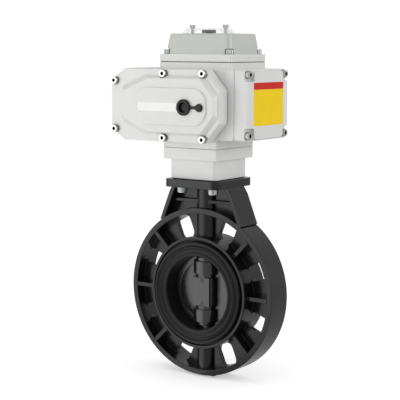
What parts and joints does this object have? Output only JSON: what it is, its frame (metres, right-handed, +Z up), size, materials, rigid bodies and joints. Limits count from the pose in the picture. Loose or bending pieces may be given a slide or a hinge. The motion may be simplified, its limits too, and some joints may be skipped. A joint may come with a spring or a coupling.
{
  "type": "butterfly valve with electric actuator",
  "caption": "Wafer butterfly valve with a rubber-lined bore and a turning disc, driven by a quarter-turn electric actuator with a position window and a hand drive.",
  "frame": {"origin": "centre of the flat foot under the valve body, on the stem axis, 114.5 mm below the pipe axis", "axes": "+Z up along the stem towards the actuator; the pipe runs along Y; -Y is the side of the long front cover; +X is the side of the end cover"},
  "size_m": [0.225, 0.1466, 0.467],
  "materials": {
    "body_plastic": "charcoal moulded plastic, semi-matt",
    "liner_rubber": "black moulded rubber",
    "black_rubber": "black rubber",
    "grey_paint": "light grey powder coat on die-cast aluminium",
    "clear_plastic": "clear plastic window",
    "stainless": "stainless steel",
    "gear_steel": "machined steel",
    "bronze": "machined bronze",
    "nylon": "natural nylon",
    "bush_plastic": "bearing plastic",
    "black_plastic": "black moulded plastic",
    "motor_steel": "plated steel can",
    "terminal_plastic": "green moulded plastic",
    "label_film": "printed film, yellow with a red band, no lettering",
    "label_white": "blank white film"
  },
  "bodies": {
    "root": {"valve_body": "body_plastic", "seat_liner": "liner_rubber", "upper_stem_bush": "bush_plastic", "lower_stem_bush": "bush_plastic", "stem_seal": "black_rubber", "lower_stem_plug": "body_plastic", "mounting_shim": "black_rubber", "mounting_neck": "grey_paint", "gearbox_base": "grey_paint", "actuator_housing": "grey_paint", "front_cover": "grey_paint", "front_gasket": "black_rubber", "end_cover": "grey_paint", "top_cover": "grey_paint", "top_gasket": "black_rubber", "indicator_window": "clear_plastic", "output_bearing_lower": "bronze", "output_bearing_upper": "bronze", "worm_bearing_front": "bronze", "worm_bearing_rear": "bronze", "hand_drive_bush": "bronze", "idler_axle": "gear_steel", "motor_body": "motor_steel", "open_limit_switch": "black_plastic", "closed_limit_switch": "black_plastic", "terminal_block": "terminal_plastic", "cable_gland": "black_plastic", "plug_strap": "black_rubber", "front_screw_1": "stainless", "front_screw_2": "stainless", "front_screw_3": "stainless", "front_screw_4": "stainless", "front_screw_5": "stainless", "front_screw_6": "stainless", "end_screw_1": "stainless", "end_screw_2": "stainless", "end_screw_3": "stainless", "end_screw_4": "stainless", "top_screw_1": "stainless", "top_screw_2": "stainless", "top_screw_3": "stainless", "top_screw_4": "stainless", "window_screw_1": "stainless", "window_screw_2": "stainless", "mounting_bolt_1": "stainless", "mounting_bolt_2": "stainless", "mounting_bolt_3": "stainless", "mounting_bolt_4": "stainless"},
    "output": {"valve_disc": "body_plastic", "valve_stem": "stainless", "output_shaft": "gear_steel", "worm_wheel": "bronze", "open_cam": "nylon", "closed_cam": "nylon", "position_pointer": "black_plastic"},
    "worm": {"worm_shaft": "gear_steel"},
    "hand_drive": {"hand_drive_gear": "gear_steel"},
    "idler": {"idler_gear": "nylon"},
    "motor_rotor": {"motor_pinion": "gear_steel"},
    "plug": {"rubber_plug": "black_rubber"}
  },
  "joints": [
    {"name": "output_turn", "type": "hinge", "parent": "root", "child": "output", "pos_m": [0, 0, 0.1145], "axis": [0, 0, 1], "range_deg": [0, 90]},
    {"name": "worm_turn", "type": "hinge", "parent": "root", "child": "worm", "pos_m": [0.039, 0, 0.3625], "axis": [0, 1, 0], "range_deg": [-2700, 0]},
    {"name": "hand_drive_turn", "type": "hinge", "parent": "root", "child": "hand_drive", "pos_m": [0.015, 0, 0.3625], "axis": [0, 1, 0], "range_deg": [0, 2700]},
    {"name": "idler_turn", "type": "hinge", "parent": "root", "child": "idler", "pos_m": [-0.0258, 0, 0.3625], "axis": [0, 1, 0], "range_deg": [-1125, 0]},
    {"name": "motor_turn", "type": "hinge", "parent": "root", "child": "motor_rotor", "pos_m": [-0.0606, 0, 0.3625], "axis": [0, 1, 0], "range_deg": [0, 5400]},
    {"name": "plug_pull", "type": "slide", "parent": "root", "child": "plug", "axis": [0, -1, 0], "range_m": [0, 0.015]}
  ],
  "couplings": [
    {"joint": "worm_turn", "follows": "output_turn", "ratio": -30},
    {"joint": "hand_drive_turn", "follows": "output_turn", "ratio": 30},
    {"joint": "idler_turn", "follows": "output_turn", "ratio": -12.5},
    {"joint": "motor_turn", "follows": "output_turn", "ratio": 60}
  ]
}
